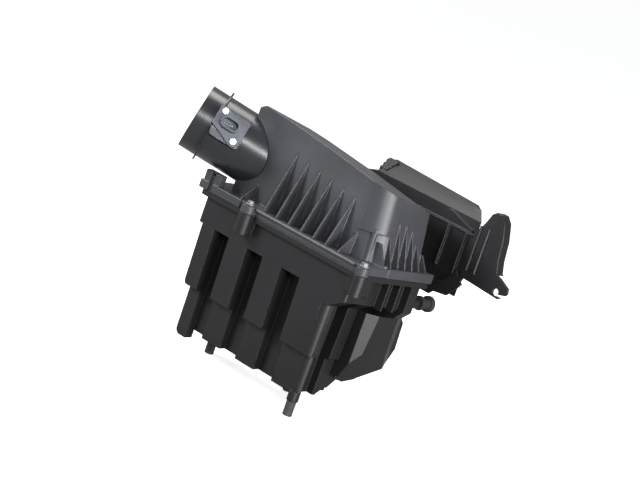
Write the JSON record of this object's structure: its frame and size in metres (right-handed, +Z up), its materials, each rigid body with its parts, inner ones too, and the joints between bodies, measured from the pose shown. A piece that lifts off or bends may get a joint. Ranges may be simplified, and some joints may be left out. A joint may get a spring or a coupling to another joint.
{
  "type": "air cleaner housing",
  "caption": "Engine air cleaner housing with sloped ribbed cover, finned lower tray, tilted round outlet with flow sensor, rear duct and hooked bracket.",
  "frame": {"origin": "tip of the front locating peg, at the centre of the face that it stands on", "axes": "+X to the right along the front flange, +Y from the front to the back, +Z up, square to the joint between cover and housing"},
  "size_m": [0.4352, 0.2075, 0.3053],
  "materials": {
    "black_plastic": "moulded black plastic with a fine satin grain",
    "cover_plastic": "moulded black plastic, a shade lighter and more satin than the housing",
    "tube_plastic": "smooth moulded charcoal plastic",
    "dark_plastic": "plain black moulded plastic",
    "sensor_plastic": "light grey glass-filled plastic",
    "grey_rubber": "dull dark grey rubber",
    "black_rubber": "dull black rubber",
    "filter_seal": "orange moulded polyurethane",
    "filter_paper": "pleated cream paper",
    "bright_steel": "bright zinc plated steel",
    "brass_insert": "knurled brass",
    "contact_metal": "tinned contact metal"
  },
  "bodies": {
    "housing": {"lower_housing": "black_plastic", "threaded_inserts": "brass_insert", "side_chamber": "black_plastic", "chamber_weld_rim": "dark_plastic", "peg_feet": "grey_rubber", "side_isolator": "black_rubber", "drain_valve": "black_rubber", "duct_lower_shell": "black_plastic", "duct_upper_shell": "black_plastic", "duct_gasket": "black_rubber", "mounting_bracket": "black_plastic"},
    "cover": {"upper_cover": "cover_plastic", "compression_sleeves": "bright_steel", "outlet_tube": "tube_plastic", "flow_screen": "dark_plastic", "sensor_inserts": "brass_insert"},
    "filter": {"filter_seal": "filter_seal", "filter_media": "filter_paper"},
    "sensor": {"sensor_body": "sensor_plastic", "sensor_probe": "dark_plastic", "sensor_o_ring": "black_rubber", "sensor_terminals": "contact_metal", "sensor_element": "contact_metal"},
    "upper_sensor_screw": {"sensor_screw_upper": "bright_steel"},
    "lower_sensor_screw": {"sensor_screw_lower": "bright_steel"},
    "front_screw": {"cover_screw_front": "bright_steel"},
    "corner_screw": {"cover_screw_corner": "bright_steel"},
    "rear_right_screw": {"cover_screw_rear_right": "bright_steel"},
    "rear_left_screw": {"cover_screw_rear_left": "bright_steel"}
  },
  "joints": [
    {"name": "cover_lift", "type": "slide", "parent": "housing", "child": "cover", "axis": [0, 0, 1], "range_m": [0, 0.22]},
    {"name": "filter_lift", "type": "slide", "parent": "housing", "child": "filter", "axis": [0, 0, 1], "range_m": [0, 0.11]},
    {"name": "sensor_pull", "type": "slide", "parent": "cover", "child": "sensor", "axis": [0.6833, -0.6496, 0.3334], "range_m": [0, 0.055]},
    {"name": "front_screw_turn", "type": "hinge", "parent": "cover", "child": "front_screw", "pos_m": [-0.139, -0.023, 0.201], "axis": [0, 0, 1], "continuous": true},
    {"name": "corner_screw_turn", "type": "hinge", "parent": "cover", "child": "corner_screw", "pos_m": [0.0525, -0.0215, 0.201], "axis": [0, 0, 1], "continuous": true},
    {"name": "rear_right_screw_turn", "type": "hinge", "parent": "cover", "child": "rear_right_screw", "pos_m": [-0.021, 0.1026, 0.201], "axis": [0, 0, 1], "continuous": true},
    {"name": "rear_left_screw_turn", "type": "hinge", "parent": "cover", "child": "rear_left_screw", "pos_m": [-0.186, 0.1026, 0.201], "axis": [0, 0, 1], "continuous": true},
    {"name": "upper_sensor_screw_turn", "type": "hinge", "parent": "sensor", "child": "upper_sensor_screw", "pos_m": [-0.2072, -0.04039, 0.28612], "axis": [0.6833, -0.6496, 0.3334], "continuous": true},
    {"name": "lower_sensor_screw_turn", "type": "hinge", "parent": "sensor", "child": "lower_sensor_screw", "pos_m": [-0.18676, -0.03386, 0.25695], "axis": [0.6833, -0.6496, 0.3334], "continuous": true}
  ],
  "couplings": [
    {"joint": "filter_lift", "follows": "cover_lift", "ratio": 0.5}
  ]
}
